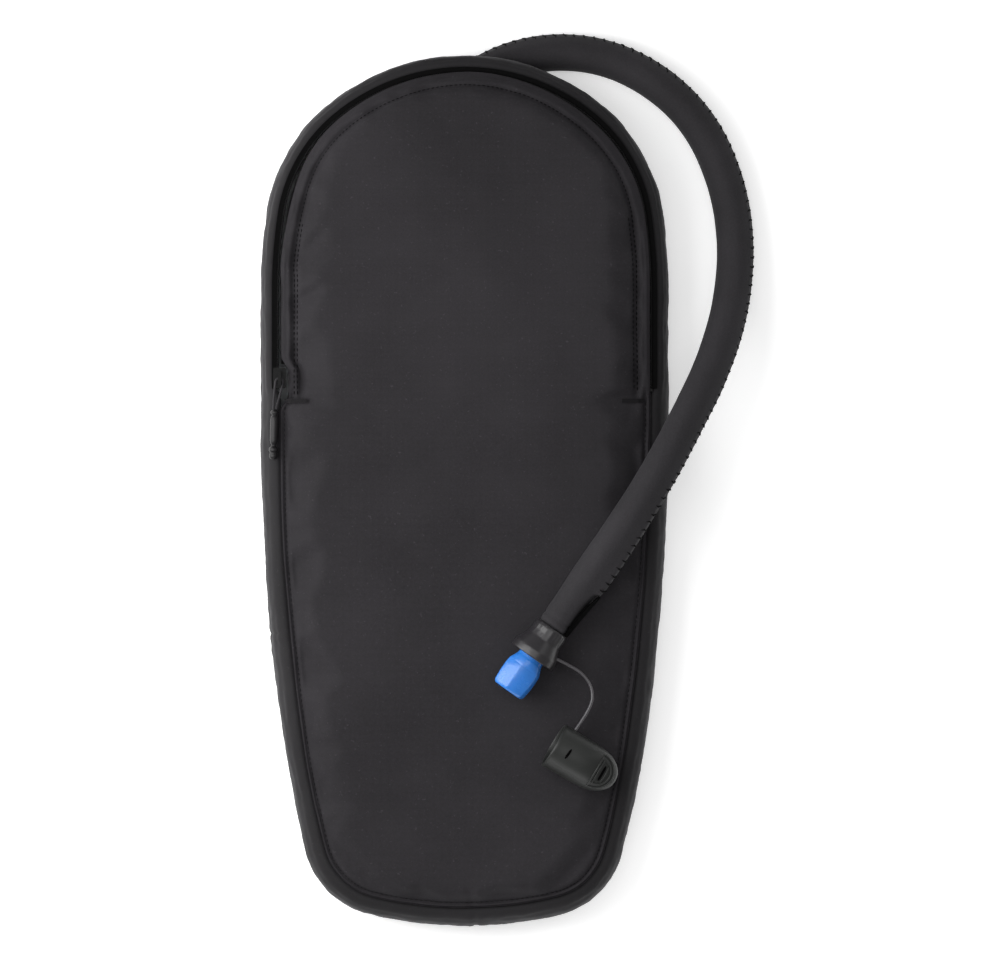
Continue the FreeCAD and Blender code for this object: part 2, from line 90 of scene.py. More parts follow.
SEAM_ANGLE = math.radians(16.0)  # the hose cover's seam above its outer side


# ---- shared geometry ------------------------------------------------------------------------
def solved_arcs():
    headings = [0.0] + [math.radians(h) for _, h in SIDE_ARCS]
    spans = [(math.sin(b) - math.sin(a), math.cos(b) - math.cos(a)) for a, b in zip(headings, headings[1:])]
    radii = [(r or 0.0) for r, _ in SIDE_ARCS]
    i, j = [n for n, (r, _) in enumerate(SIDE_ARCS) if r is None]
    across = -sum(r * s[0] for r, s in zip(radii, spans))
    down = -(BAG_LENGTH - STRAIGHT_SIDE) - sum(r * s[1] for r, s in zip(radii, spans))
    det = spans[i][0] * spans[j][1] - spans[j][0] * spans[i][1]
    radii[i] = (across * spans[j][1] - spans[j][0] * down) / det
    radii[j] = (spans[i][0] * down - across * spans[i][1]) / det
    return list(zip(radii, headings, headings[1:]))


ARCS = solved_arcs()
HALF_LENGTH = sum(r * (b - a) for r, a, b in ARCS) + STRAIGHT_SIDE
HALF_WIDTH = sum(r * (math.sin(b) - math.sin(a)) for r, a, b in ARCS[:STRAIGHT_AFTER + 1])


def outline_at(s):
    """Point and outward normal of the outline, s mm clockwise from the top centre."""
    s %= 2 * HALF_LENGTH
    if s > HALF_LENGTH:
        p, n = outline_at(2 * HALF_LENGTH - s)
        return Vector((-p.x, p.y)), Vector((-n.x, n.y))
    x, y = 0.0, BAG_LENGTH / 2
    for number, (r, a, b) in enumerate(ARCS):
        h = a + s / r
        if h <= b or number == len(ARCS) - 1:
            place = Vector((x + r * (math.sin(h) - math.sin(a)), y + r * (math.cos(h) - math.cos(a))))
            return place, Vector((math.sin(h), math.cos(h)))
        x += r * (math.sin(b) - math.sin(a))
        y += r * (math.cos(b) - math.cos(a))
        s -= r * (b - a)
        if number == STRAIGHT_AFTER:
            if s <= STRAIGHT_SIDE:
                return Vector((x, y - s)), Vector((1.0, 0.0))
            y -= STRAIGHT_SIDE
            s -= STRAIGHT_SIDE


def outline(count):
    """Count even steps round the outline: how far along, the point and the outward normal of each."""
    return [(s, *outline_at(s)) for s in [2 * HALF_LENGTH * k / count for k in range(count)]]


def side_position(y):
    """How far along the outline the right side reaches a height y."""
    low, high = 60.0, HALF_LENGTH - 60.0
    for _ in range(40):
        middle = (low + high) / 2
        if outline_at(middle)[0].y > y:
            low = middle
        else:
            high = middle
    return low


def fbm(x, y, z, scale, octaves=3):
    value, size = 0.0, 1.0
    for _ in range(octaves):
        value += size * noise.noise(Vector((x, y, z)) / scale)
        scale /= 2.1
        size /= 2
    return value


def bump_at(value, centre, width):
    """A smooth bell, 1 at its centre and near 0 from twice its width."""
    return math.exp(-((value - centre) / width) ** 2)


def linked(name, data):
    """A new object in the scene."""
    piece = bpy.data.objects.new(name, data)
    bpy.context.scene.collection.objects.link(piece)
    return piece


def make_object(name, vertices, faces, materials, slots=None, smooth=True):
    mesh = bpy.data.meshes.new(name)
    mesh.from_pydata([tuple(c * MM for c in v) for v in vertices], [], faces)
    for m in materials:
        mesh.materials.append(m)
    if slots:
        mesh.polygons.foreach_set("material_index", slots)
    mesh.polygons.foreach_set("use_smooth", [smooth] * len(mesh.polygons))
    mesh.update()
    return linked(name, mesh)


def subdivide(piece, levels=1):
    modifier = piece.modifiers.new("subdivision", "SUBSURF")
    modifier.levels = levels
    modifier.render_levels = levels
    apply_modifiers(piece)


def apply_modifiers(piece):
    evaluated = piece.evaluated_get(bpy.context.evaluated_depsgraph_get())
    mesh = bpy.data.meshes.new_from_object(evaluated)
    piece.modifiers.clear()
    piece.data = mesh


def grid_faces(rows, columns, closed=True, start=0):
    """Quads of a grid of rows x columns vertices, closed round the columns if asked."""
    faces = []
    for r in range(rows - 1):
        for c in range(columns if closed else columns - 1):
            n = (c + 1) % columns
            low = start + r * columns
            high = low + columns
            faces.append((low + c, low + n, high + n, high + c))
    return faces


def tidy_faces(piece, join=0.0001):
    """Merges vertices within join metres of each other, unless it is None, and turns faces outwards."""
    bm = bmesh.new()
    bm.from_mesh(piece.data)
    if join is not None:
        bmesh.ops.remove_doubles(bm, verts=bm.verts, dist=join)
    bmesh.ops.recalc_face_normals(bm, faces=bm.faces)
    bm.to_mesh(piece.data)
    bm.free()


def surface_of(piece):
    """A piece's faces, ready to be hit by rays."""
    mesh = piece.data
    corners = [v.co.copy() for v in mesh.vertices]
    return BVHTree.FromPolygons(corners, [tuple(p.vertices) for p in mesh.polygons])


def height_on(tree, x, y, missed=CROWN_Z):
    """The height in mm where a ray straight down meets a surface, or missed where it meets none."""
    hit = tree.ray_cast(Vector((x * MM, y * MM, ABOVE_ALL)), Vector((0, 0, -1)))
    return hit[0].z / MM if hit[0] else missed


def bridge(first, second, count):
    """Quads between two rings of count vertices, which start at the numbers first and second."""
    return [(first + c, first + (c + 1) % count, second + (c + 1) % count, second + c) for c in range(count)]


def soften(points, radius, steps=4):
    """Rounds the corners of an open profile of (r, s) points."""
    out = [points[0]]
    for before, corner, after in zip(points, points[1:], points[2:]):
        a, b, c = Vector(before), Vector(corner), Vector(after)
        reach_in = min(radius, (b - a).length * 0.45)
        reach_out = min(radius, (c - b).length * 0.45)
        start = b + (a - b).normalized() * reach_in
        end = b + (c - b).normalized() * reach_out
        for k in range(steps + 1):
            t = k / steps
            out.append(tuple(start * (1 - t) ** 2 + b * 2 * t * (1 - t) + end * t ** 2))
    out.append(points[-1])
    return out


def turned(name, profile, materials, place, segments=64, shape=None):
    """A lathe piece of (radius, height) points; shape(angle, height, radius) may give another (x, y)."""
    vertices = []
    for r, s in profile:
        for k in range(segments):
            a = 2 * math.pi * k / segments
            x, y = (r * math.cos(a), r * math.sin(a))
            if shape:
                x, y = shape(a, s, r)
            vertices.append(place @ Vector((x, y, s)))
    piece = make_object(name, vertices, grid_faces(len(profile), segments), materials)
    tidy_faces(piece, 0.00001)
    return piece


def place_at(origin, along):
    """Local +Z along a direction, local +Y as near up as it can be."""
    z = Vector(along).normalized()
    x = Vector((0, 0, 1)).cross(z).normalized()
    y = z.cross(x)
    matrix = Matrix((x, y, z)).transposed().to_4x4()
    matrix.translation = Vector(origin)
    return matrix


def nurbs(name, route, bevel=0.0, material=None, resolution=16):
    curve = bpy.data.curves.new(name, "CURVE")
    curve.dimensions = "3D"
    spline = curve.splines.new("NURBS")
    spline.points.add(len(route) - 1)
    for point, place in zip(spline.points, route):
        point.co = (*[c * MM for c in place], 1.0)
    spline.order_u = 3
    spline.use_endpoint_u = True
    curve.resolution_u = resolution
    curve.bevel_depth = bevel * MM
    curve.bevel_resolution = 4
    curve.use_fill_caps = bevel > 0
    if material:
        curve.materials.append(material)
    return linked(name, curve)


def centreline(route, spacing):
    """Evenly spaced points and directions, in mm, on the smooth line of a route."""
    guide = nurbs("guide", route, resolution=40)
    mesh = bpy.data.meshes.new_from_object(guide.evaluated_get(bpy.context.evaluated_depsgraph_get()))
    raw = [v.co / MM for v in mesh.vertices]
    bpy.data.objects.remove(guide)
    bpy.data.meshes.remove(mesh)
    lengths = [0.0]
    for a, b in zip(raw, raw[1:]):
        lengths.append(lengths[-1] + (b - a).length)
    count = max(4, round(lengths[-1] / spacing))
    points = []
    n = 0
    for k in range(count + 1):
        want = lengths[-1] * k / count
        while n < len(raw) - 2 and lengths[n + 1] < want:
            n += 1
        t = (want - lengths[n]) / max(1e-9, lengths[n + 1] - lengths[n])
        points.append(raw[n].lerp(raw[n + 1], t))
    directions = [(points[min(k + 1, count)] - points[max(k - 1, 0)]).normalized() for k in range(count + 1)]
    return points, directions, lengths[-1]


def threads(name, strands, radius, material, sides=6):
    """Short thread stitches: each strand is a few points in mm, made a small round tube."""
    vertices, faces = [], []
    for strand in strands:
        start = len(vertices)
        for k, p in enumerate(strand):
            ahead = strand[min(k + 1, len(strand) - 1)] - strand[max(k - 1, 0)]
            matrix = place_at(p, ahead)
            r = radius * (0.45 if k in (0, len(strand) - 1) else 1.0)
            for c in range(sides):
                a = 2 * math.pi * c / sides
                vertices.append(matrix @ Vector((r * math.cos(a), r * math.sin(a), 0)))
        faces += grid_faces(len(strand), sides, start=start)
        faces.append(tuple(start + c for c in reversed(range(sides))))
        last = start + (len(strand) - 1) * sides
        faces.append(tuple(last + c for c in range(sides)))
    return make_object(name, vertices, faces, [material])


# ---- materials ------------------------------------------------------------------------------
class Nodes:
    """A Principled material being built from named procedural steps."""

    def __init__(self, name, colour, roughness=0.6, metallic=0.0, **sockets):
        self.material = bpy.data.materials.new(name)
        self.material.use_nodes = True
        self.tree = self.material.node_tree
        self.shader = self.tree.nodes["Principled BSDF"]
        self.shader.inputs["Base Color"].default_value = (*colour, 1)
        self.shader.inputs["Roughness"].default_value = roughness
        self.shader.inputs["Metallic"].default_value = metallic
        for socket, value in sockets.items():
            self.shader.inputs[socket.replace("_", " ")].default_value = value
        self.coordinates = self.add("ShaderNodeTexCoord").outputs["Object"]
        self.normal = None

    def add(self, kind, values=(), **settings):
        """A new node with its settings, and with values, (socket, value) pairs, in its sockets."""
        node = self.tree.nodes.new(kind)
        for key, value in settings.items():
            setattr(node, key, value)
        for socket, value in values:
            node.inputs[socket].default_value = value
        return node

    def link(self, a, b):
        self.tree.links.new(a, b)

    def put(self, socket, value):
        """Gives a socket a number or a colour, or links another node's output to it."""
        if isinstance(value, (int, float)):
            socket.default_value = value
        elif isinstance(value, tuple):
            socket.default_value = (*value, 1)
        else:
            self.link(value, socket)

    def noise(self, scale, detail=3.0, roughness=0.5):
        values = [("Scale", scale), ("Detail", detail), ("Roughness", roughness)]
        node = self.add("ShaderNodeTexNoise", values)
        self.link(self.coordinates, node.inputs["Vector"])
        return node.outputs["Fac"]

    def wave(self, scale, direction, distortion):
        node = self.add("ShaderNodeTexWave", [("Scale", 1.0), ("Distortion", distortion)],
                        wave_type="BANDS", bands_direction=direction, wave_profile="SIN")
        mapping = self.add("ShaderNodeMapping", [("Scale", (scale, scale, scale))])
        self.link(self.coordinates, mapping.inputs["Vector"])
        self.link(mapping.outputs["Vector"], node.inputs["Vector"])
        return node.outputs["Fac"]

    def maths(self, operation, a, b):
        node = self.add("ShaderNodeMath", operation=operation)
        for socket, value in zip(node.inputs, (a, b)):
            self.put(socket, value)
        return node.outputs[0]

    def ramp(self, factor, stops):
        node = self.add("ShaderNodeValToRGB")
        elements = node.color_ramp.elements
        while len(elements) < len(stops):
            elements.new(0.5)
        for element, (position, colour) in zip(elements, stops):
            element.position = position
            element.color = (*colour, 1)
        self.link(factor, node.inputs["Fac"])
        return node.outputs["Color"]

    def mix(self, factor, a, b):
        node = self.add("ShaderNodeMix", data_type="RGBA")
        for number, value in ((0, factor), (6, a), (7, b)):
            self.put(node.inputs[number], value)
        return node.outputs[2]

    def colour(self, source):
        self.link(source, self.shader.inputs["Base Color"])

    def mottle(self, factor, colour, darker, lighter, low, high):
        """Shades of a colour: darker up to factor low, lighter from factor high."""
        dark = tuple(c * darker for c in colour)
        light = tuple(min(1, c * lighter) for c in colour)
        self.colour(self.ramp(factor, [(low, dark), (high, light)]))

    def roughness(self, factor, low, high):
        node = self.add("ShaderNodeMapRange", [("To Min", low), ("To Max", high)])
        self.link(factor, node.inputs["Value"])
        self.link(node.outputs["Result"], self.shader.inputs["Roughness"])

    def bump(self, height, strength, distance):
        node = self.add("ShaderNodeBump", [("Strength", strength), ("Distance", distance * MM)])
        self.link(height, node.inputs["Height"])
        if self.normal:
            self.link(self.normal, node.inputs["Normal"])
        self.normal = node.outputs["Normal"]
        self.link(self.normal, self.shader.inputs["Normal"])


def grey(level):
    """Linear grey, a touch warm, for a sRGB level from 0 to 255."""
    c = (level / 255) ** 2.2
    return (c * 1.02, c * 0.94, c * 1.06)


def weave_fabric(name, dark, light, thread=0.62, sheen=0.05, gloss=0.12):
    """Plain woven synthetic cloth: crossed threads thread mm apart, with mottled dye and lint."""
    n = Nodes(name, grey((dark + light) / 2), 0.72,
              Sheen_Weight=sheen, Sheen_Roughness=0.4, Specular_IOR_Level=gloss)
    n.shader.inputs["Sheen Tint"].default_value = (0.75, 0.75, 0.8, 1)
    per_m = 2 * math.pi / (thread * MM) / 20
    warp = n.wave(per_m, "X", 0.6)
    weft = n.wave(per_m, "Y", 0.6)
    checker = n.maths("MULTIPLY", warp, weft)
    cloud = n.noise(14, 4.0, 0.55)
    fine = n.noise(900, 3.0, 0.7)
    lint = n.ramp(n.noise(700, 2.0, 0.5), [(0.66, (0, 0, 0)), (0.78, (1, 1, 1))])
    base = n.ramp(n.maths("ADD", n.maths("MULTIPLY", cloud, 0.55), n.maths("MULTIPLY", fine, 0.45)),
                  [(0.25, grey(dark)), (0.75, grey(light))])
    shaded = n.mix(0.35, base, n.ramp(checker, [(0.0, grey(dark * 0.72)), (1.0, grey(light * 1.15))]))
    n.colour(n.mix(n.maths("MULTIPLY", lint, 0.25), shaded, grey(light * 1.5)))
    n.roughness(fine, 0.62, 0.85)
    n.bump(checker, 0.35, 0.12)
    n.bump(n.noise(55, 5.0, 0.6), 0.25, 0.6)
    return n.material


def moulded(name, colour, low, high, grain=500, bump=0.06, **sockets):
    """Moulded plastic or rubber with a fine grain, faint flow marks and uneven gloss."""
    n = Nodes(name, colour, (low + high) / 2, **sockets)
    n.mottle(n.noise(30, 3.0), colour, 0.82, 1.18, 0.3, 0.7)
    n.roughness(n.noise(120, 4.0), low, high)
    n.bump(n.noise(grain, 2.0), 0.3, bump)
    return n.material


def metal(name, colour, low, high, painted=False):
    specular, coat = (0.1, 0.08) if painted else (0.5, 0.0)
    metallic = 0.0 if painted else 1.0
    n = Nodes(name, colour, (low + high) / 2, metallic,
              Specular_IOR_Level=specular, Coat_Weight=coat, Coat_Roughness=0.08)
    wear = n.noise(260, 4.0, 0.7)
    n.mottle(wear, colour, 0.8, 1.25, 0.35, 0.7)
    n.roughness(n.noise(90, 3.0), low, high)
    n.bump(wear, 0.2, 0.03)
    return n.material


def film(name, colour, alpha):
    """Clear blue tinted film or tube wall, with cloudy wear."""
    n = Nodes(name, colour, 0.25, Alpha=alpha, IOR=1.46)
    n.mottle(n.noise(22, 4.0), colour, 0.8, 1.2, 0.3, 0.75)
    n.roughness(n.noise(80, 3.0), 0.18, 0.42)
    n.bump(n.noise(60, 4.0), 0.3, 0.5)
    return n.material


def knit_cover(name):
    """Stretch knit over foam: a fine grain with soft mottling."""
    n = Nodes(name, grey(48), 0.7, Sheen_Weight=0.04, Sheen_Roughness=0.5, Specular_IOR_Level=0.22)
    n.shader.inputs["Sheen Tint"].default_value = (0.8, 0.85, 0.85, 1)
    fine = n.noise(1100, 3.0, 0.7)
    cloud = n.noise(25, 4.0)
    level = n.maths("ADD", n.maths("MULTIPLY", fine, 0.55), n.maths("MULTIPLY", cloud, 0.45))
    n.colour(n.ramp(level, [(0.28, grey(33)), (0.72, grey(51))]))
    n.roughness(fine, 0.68, 0.9)
    n.bump(fine, 0.5, 0.14)
    n.bump(n.noise(90, 4.0), 0.25, 0.4)
    return n.material


FABRIC = weave_fabric("woven_shell", 29, 53)
GUSSET_FABRIC = weave_fabric("woven_gusset", 18, 42, 0.62, 0.06, 0.22)
LINING = moulded("silver_lining", (0.33, 0.34, 0.35), 0.35, 0.55, 300, 0.2, Metallic=0.6)
ZIP_TAPE = weave_fabric("zip_tape", 6, 12, 0.4, 0.0, 0.06)
ZIP_COIL = moulded("zip_coil", grey(16), 0.3, 0.5, Specular_IOR_Level=0.25)
THREAD = weave_fabric("thread", 10, 18, 0.2, 0.0, 0.1)
SOFT_THREAD = weave_fabric("thread_soft", 24, 34, 0.2, 0.0, 0.1)
TACK = weave_fabric("bar_tack_thread", 22, 34, 0.3, 0.0, 0.1)
SLIDER = metal("slider_black", grey(8), 0.5, 0.66, painted=True)
CORD = weave_fabric("pull_cord_braid", 24, 52, 0.5, 0.1, 0.2)
GRIP = moulded("grip_rubber", grey(22), 0.34, 0.5, Specular_IOR_Level=0.25)
COVER = knit_cover("hose_cover_knit")
# near-black rubber used as painted shade in cuts, slots and openings
PAINTED_SHADE = moulded("slit_painted_shade", grey(6), 0.8, 0.95, Specular_IOR_Level=0.05)
COLLAR = moulded("collar_rubber", grey(38), 0.26, 0.42,
                 Coat_Weight=0.25, Coat_Roughness=0.22, Specular_IOR_Level=0.35)
CAP_RUBBER = moulded("cap_rubber", (0.0195, 0.0205, 0.0195), 0.32, 0.5, Specular_IOR_Level=0.25)
TETHER = moulded("tether_rubber", grey(58), 0.25, 0.4, Specular_IOR_Level=0.6)
SILICONE = moulded("blue_silicone", (0.02, 0.15, 0.5), 0.2, 0.32, 200, 0.03,
                   Subsurface_Weight=0.1, Coat_Weight=0.2)
SILICONE.node_tree.nodes["Principled BSDF"].inputs["Subsurface Radius"].default_value = (0.002, 0.004, 0.008)
BLADDER_FILM = film("bladder_film", (0.30, 0.52, 0.72), 0.72)
TUBE_FILM = film("tube_wall", (0.55, 0.72, 0.85), 0.8)
PORT_PLASTIC = moulded("port_plastic", (0.36, 0.42, 0.48), 0.35, 0.55)
CAP_PLASTIC = moulded("fill_cap_blue", (0.03, 0.15, 0.5), 0.35, 0.55)
FITTING = moulded("fitting_plastic", grey(70), 0.35, 0.55)
SEAL = moulded("seal_rubber", grey(24), 0.5, 0.7)
STEEL = metal("spring_steel", (0.62, 0.62, 0.64), 0.22, 0.4)
BOOT = moulded("boot_rubber", grey(40), 0.5, 0.7)

CARRIED_OVER = {  # pieces shown with the frame's own form, and what each is made of
    "zip_stops": SLIDER, "zip_slider": SLIDER, "bar_tacks": TACK, "hose_boot": BOOT,
    "fill_port_ring": PORT_PLASTIC, "port_handle": PORT_PLASTIC, "fill_cap": CAP_PLASTIC, "cap_gasket": SEAL,
    "exit_port": FITTING, "check_poppet": PORT_PLASTIC, "poppet_spring": STEEL, "tube_coupler": FITTING,
    "coupler_seal": SEAL, "release_button": CAP_PLASTIC, "button_spring": STEEL, "valve_adaptor": FITTING,
}


# ---- the padded sleeve ----------------------------------------------------------------------
AROUND = 520
SPINE_LOW, SPINE_HIGH = -150.0, 110.0
SLIDER_INSET = 11.4  # the edge lies at least this far in beside the slider's path
PARKED_Y = 58.0  # middle of the notch for the parked slider and its cord


def sewn_inset(p):
    """How far in from the outline the front panel is sewn: it wanders as cloth does."""
    inset = 10.2 + 0.45 * fbm(p.x, p.y, 60.0, 55.0, 2) - 1.1 * bump_at(p.x, 0.0, 45.0) * (p.y > 0)
    if p.x < 0:
        inset += 2.2 * bump_at(p.y, 160.0, 28.0)
        past = abs(p.y - 83.0) - 36.0  # mm past the slider's path
        inset += max(0.0, SLIDER_INSET - inset) / (1 + math.exp(past / 2.0))
    return inset


def edge_inset(p):
    """The panel's loose edge: the sewn line, cut back beside the parked zip slider and its cord."""
    return sewn_inset(p) + (3.9 * math.exp(-((p.y - PARKED_Y) / 11.5) ** 6) if p.x < 0 else 0.0)


def slider_limit(x, y):
    """How high the cloth may stand where the zip slider's wing passes over it."""
    beyond = max(0.0, abs(y - 79.0) - 36.0)
    return SEAM_Z + 1.25 + 1.3 * max(0.0, x + HALF_WIDTH - 14.2) + 1.5 * beyond


def base_height(depth):
    """Resting height of the front panel, depth mm in from its edge."""
    return SEAM_Z + 0.6 + (CROWN_Z - 0.6 - SEAM_Z) * (1 - math.exp(-depth / 15.0))


def soft_minimum(a, b, softness=0.5, near=40.0):
    """The lower of two heights, rounded off where they meet; near them keeps the powers small."""
    return near - softness * math.log(math.exp((near - a) / softness) + math.exp((near - b) / softness))


def panel_height(depth, x, y, puffed):
    """The simulated pad with its sewn channel, puckers and creases."""
    blend = min(1.0, max(0.0, (depth - 1.0) / 5.0))
    z = base_height(depth)
    z += blend * (height_on(puffed, x, y, z) - z)
    flap = 1 / (1 + math.exp((HINGE_Y - y) / 1.5))
    lip = flap * (0.9 * bump_at(depth, 3.0, 2.4) - 2.8 * bump_at(depth, 7.1, 1.5))
    seam = 0.5 * bump_at(depth, 0.9, 0.7) - 1.3 * bump_at(depth, 2.6, 1.0) - 1.6 * math.exp(-depth / 5.0)
    lip += (1 - flap) * seam
    pucker = fbm(x, y, 21.0, 6.5, 2) * bump_at(depth, 8.5, 5.0)
    z += lip + 0.5 * pucker + 0.3 * fbm(x, y, 9.0, 24.0, 3) * blend
    z -= 0.55 * bump_at(y, HINGE_Y, 2.6) * (0.25 + 0.75 * math.exp(-(100 - abs(x)) / 22.0))
    ceiling = 45.0 + 1.6 * min(1.0, max(0.0, (y + 20.0) / 60.0))
    z += wrinkles(x, y)
    if x < 0:
        ceiling = min(ceiling, slider_limit(x, y))
    return soft_minimum(z, ceiling)


WRINKLES = [  # middle x, middle y, direction in degrees, half length, half width, depth
    (-78, 122, 30, 24, 3.6, 1.5), (-84, 106, 20, 18, 3.0, 1.0), (-76, 140, 42, 20, 3.2, 0.8),
    (-84, 50, -8, 22, 2.4, 0.8), (84, 51, 6, 20, 2.4, 0.8), (-70, 44, -14, 16, 2.6, 0.45),
    (3, -216, 90, 9, 2.2, 1.1), (-22, -207, 65, 14, 3.0, 0.5), (30, -206, 112, 14, 3.0, 0.5),
    (62, 178, -50, 20, 3.5, 0.5), (-50, 186, 52, 18, 3.5, 0.45),
]


def wrinkles(x, y):
    total = 0.0
    for cx, cy, degrees, length, width, depth in WRINKLES:
        a = math.radians(degrees)
        along = (x - cx) * math.cos(a) + (y - cy) * math.sin(a)
        across = -(x - cx) * math.sin(a) + (y - cy) * math.cos(a) + 0.02 * along * along / 4
        fold = 0.5 * bump_at(abs(across), 1.7 * width, width) - bump_at(across, 0, width)
        total += depth * bump_at(along, 0, length) * fold
    return total


def ring_points(inset, fractions, around=AROUND):
    """Rows of (x, y, depth) from an inset outline in to the bag's spine."""
    edges = [p - n * (inset(p) if callable(inset) else inset) for _, p, n in outline(around)]
    rows = []
    for f in fractions:
        row = []
        for edge in edges:
            spine = Vector((0.0, min(SPINE_HIGH, max(SPINE_LOW, edge.y * 0.8))))
            q = edge.lerp(spine, f)
            row.append((q.x, q.y, (q - edge).length))
        rows.append(row)
    return rows


def fractions(rows, power=1.7):
    return [(k / (rows - 1)) ** power for k in range(rows)]


def puffed_pad():
    """A coarse pad of the front panel, held along its sewn edge and puffed up as cloth."""
    around = 240
    rows = ring_points(edge_inset, fractions(20), around)
    top = [(x, y, base_height(d)) for row in rows for x, y, d in row]
    under = [(x, y, SEAM_Z - 5.0) for row in rows for x, y, _ in row]
    faces = grid_faces(len(rows), around) + grid_faces(len(rows), around, start=len(top))
    faces += bridge(0, len(top), around)
    pad = make_object("pad", top + under, faces, [])
    tidy_faces(pad)
    remesh = pad.modifiers.new("remesh", "REMESH")
    remesh.mode = "VOXEL"
    remesh.voxel_size = 0.005
    apply_modifiers(pad)
    held = pad.vertex_groups.new(name="held")
    rest = [v.co.copy() for v in pad.data.vertices]
    edge_x = HALF_WIDTH - 14.0
    for v in pad.data.vertices:
        x, y = v.co.x / MM, v.co.y / MM
        seam = v.co.z < (SEAM_Z + 0.5) * MM
        tack = abs(abs(x) - edge_x + 4) < 6 and abs(y - HINGE_Y) < 4
        if seam or tack:
            held.add([v.index], 1.0, "REPLACE")
    cloth = pad.modifiers.new("cloth", "CLOTH")
    settings = cloth.settings
    settings.quality = 6
    settings.mass = 0.25
    settings.tension_stiffness = 12
    settings.compression_stiffness = 6
    settings.bending_stiffness = 0.08
    settings.use_pressure = True
    settings.uniform_pressure_force = 4.0
    settings.shrink_min = -0.035
    settings.vertex_group_mass = "held"
    settings.effector_weights.gravity = 0.0
    for number in range(1, CLOTH_FRAMES + 1):
        bpy.context.scene.frame_set(number)
    apply_modifiers(pad)
    for v, start in zip(pad.data.vertices, rest):
        move = v.co - start
        if move.length > PUFF_LIMIT * MM:
            v.co = start + move.normalized() * PUFF_LIMIT * MM
    bpy.context.scene.frame_set(1)
    subdivide(pad, 2)
    puffed = surface_of(pad)
    bpy.data.objects.remove(pad)
    return puffed


def lining_height(z, depth):
    """The lining under cloth at height z: clear of the zip below it, and never through the cloth."""
    padded = max(z - 1.2 - 2.6 * (1 - math.exp(-depth / 3)), SEAM_Z - 0.3)
    return min(padded, 40.4, z - 0.7)


def front_panel():
    """The whole padded front panel with its lining: one piece across the fold."""
    puffed = puffed_pad()
    rows = ring_points(edge_inset, fractions(52))
    top, under = [], []
    for row in rows:
        heights = [panel_height(d, x, y, puffed) for x, y, d in row]
        top += [(x, y, z) for (x, y, _), z in zip(row, heights)]
        under += [(x, y, lining_height(z, d)) for (x, y, d), z in zip(row, heights)]
    roll = []
    for _, p, n in outline(AROUND):
        e = p - n * (edge_inset(p) - 0.15)
        roll.append((e.x, e.y, SEAM_Z + 0.1))
    base = len(top)
    faces = grid_faces(len(rows), AROUND)
    rolled = bridge(0, base, AROUND) + bridge(base, base + AROUND, AROUND)
    lining = grid_faces(len(rows), AROUND, start=base + AROUND)
    hem = 9 * AROUND  # the lining's outer nine rows are shell cloth, turned in
    slots = [0] * (len(faces) + len(rolled) + hem) + [1] * (len(lining) - hem)
    faces += rolled + lining
    piece = make_object("front_panel_padded", top + roll + under, faces, [FABRIC, LINING], slots)
    tidy_faces(piece)
    return piece


GUSSET_SEAMS = (HALF_LENGTH - 6, 2 * HALF_LENGTH - side_position(-77.0))


def gusset_relief(s, p, z, t):
    """How far the band's cloth stands out from its even bulge."""
    relief = 0.55 * fbm(p.x, p.y, z * 1.4, 34.0) + 0.4 * fbm(p.x, p.y, z * 3, 10.0, 3)
    relief -= 0.5 * bump_at(t, 0.14, 0.035) + 0.45 * bump_at(t, 0.8, 0.04)
    relief += 0.3 * bump_at(t, 0.92, 0.12) * fbm(s, z * 0.4, 5.0, 5.0, 2)
    for seam in GUSSET_SEAMS:
        relief -= 0.5 * bump_at(s, seam, 0.9) - 0.25 * bump_at(abs(s - seam), 3.4, 1.5)
        relief += 0.5 * fbm(s, z, 70.0, 4.0, 2) * bump_at(s, seam, 14.0)
    return relief


def gusset():
    """The bulging side band, with its inner lining, as one closed ring."""
    around = 900
    across = 30
    places = outline(around)
    vertices = []
    for side in (0, 1):
        for j in range(across):
            t = j / (across - 1)
            for s, p, n in places:
                low = 0.9 + max(0.0, (p.y - 9 - SLOPE_START_Y) * SLOPE)
                zip_gap = 1 / (1 + math.exp((HINGE_Y + 2 - p.y) / 2.0))
                high = SEAM_Z - 2.0 + 0.5 * (1 - zip_gap)
                a = math.pi * t
                bulge = math.sin(a) ** 0.62
                z = low + (high - low) * (0.5 - 0.5 * math.cos(a))
                inset = (9.6 if t < 0.5 else 10.6 - 3.7 * zip_gap) * (1 - bulge)
                padding = (3.0 if side else 0.0) * (0.25 + 0.75 * bulge)
                q = p - n * (inset - gusset_relief(s, p, z, t) * bulge ** 0.5 + padding)
                vertices.append((q.x, q.y, z if not side else min(max(z, low + 1.5), high - 1.5)))
    outer = grid_faces(across, around)
    inner = [tuple(reversed(f)) for f in grid_faces(across, around, start=across * around)]
    seams = []
    for row in (0, across - 1):
        seams += bridge(row * around, (across + row) * around, around)
    hem = 6 * around  # the lining's last six rows are shell cloth, turned in
    slots = [0] * len(outer) + [1] * (len(inner) - hem) + [0] * (hem + len(seams))
    piece = make_object("side_gusset_padded", vertices, outer + inner + seams, [GUSSET_FABRIC, LINING], slots)
    tidy_faces(piece, 0.0)
    return piece


